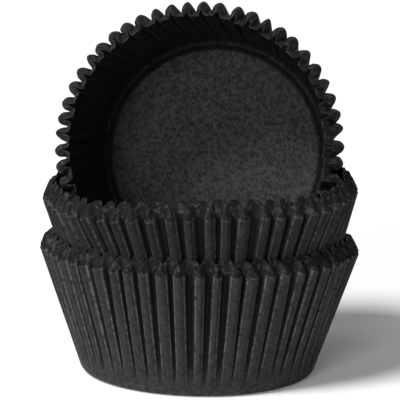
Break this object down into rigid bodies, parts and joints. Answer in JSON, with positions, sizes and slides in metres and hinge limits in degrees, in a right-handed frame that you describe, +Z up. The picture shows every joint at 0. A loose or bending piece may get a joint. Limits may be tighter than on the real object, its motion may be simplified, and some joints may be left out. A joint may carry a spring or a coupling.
{
  "type": "stack of cupcake liners",
  "caption": "Pleated paper cupcake liners, two nested upright and one lying on its side in the top one with its mouth to the front.",
  "frame": {"origin": "on the table, in the middle of the bottom liner's flat base", "axes": "+Z up, the way the stack stands; +X to the right; the top liner's mouth faces -Y, the front"},
  "size_m": [0.07, 0.0706, 0.0814],
  "materials": {
    "bottom_paper": "matte black greaseproof paper",
    "middle_paper": "matte black greaseproof paper",
    "upright_paper": "matte black greaseproof paper"
  },
  "bodies": {
    "root": {"bottom_liner": "bottom_paper", "middle_liner": "middle_paper", "upright_liner": "upright_paper"}
  },
  "joints": []
}
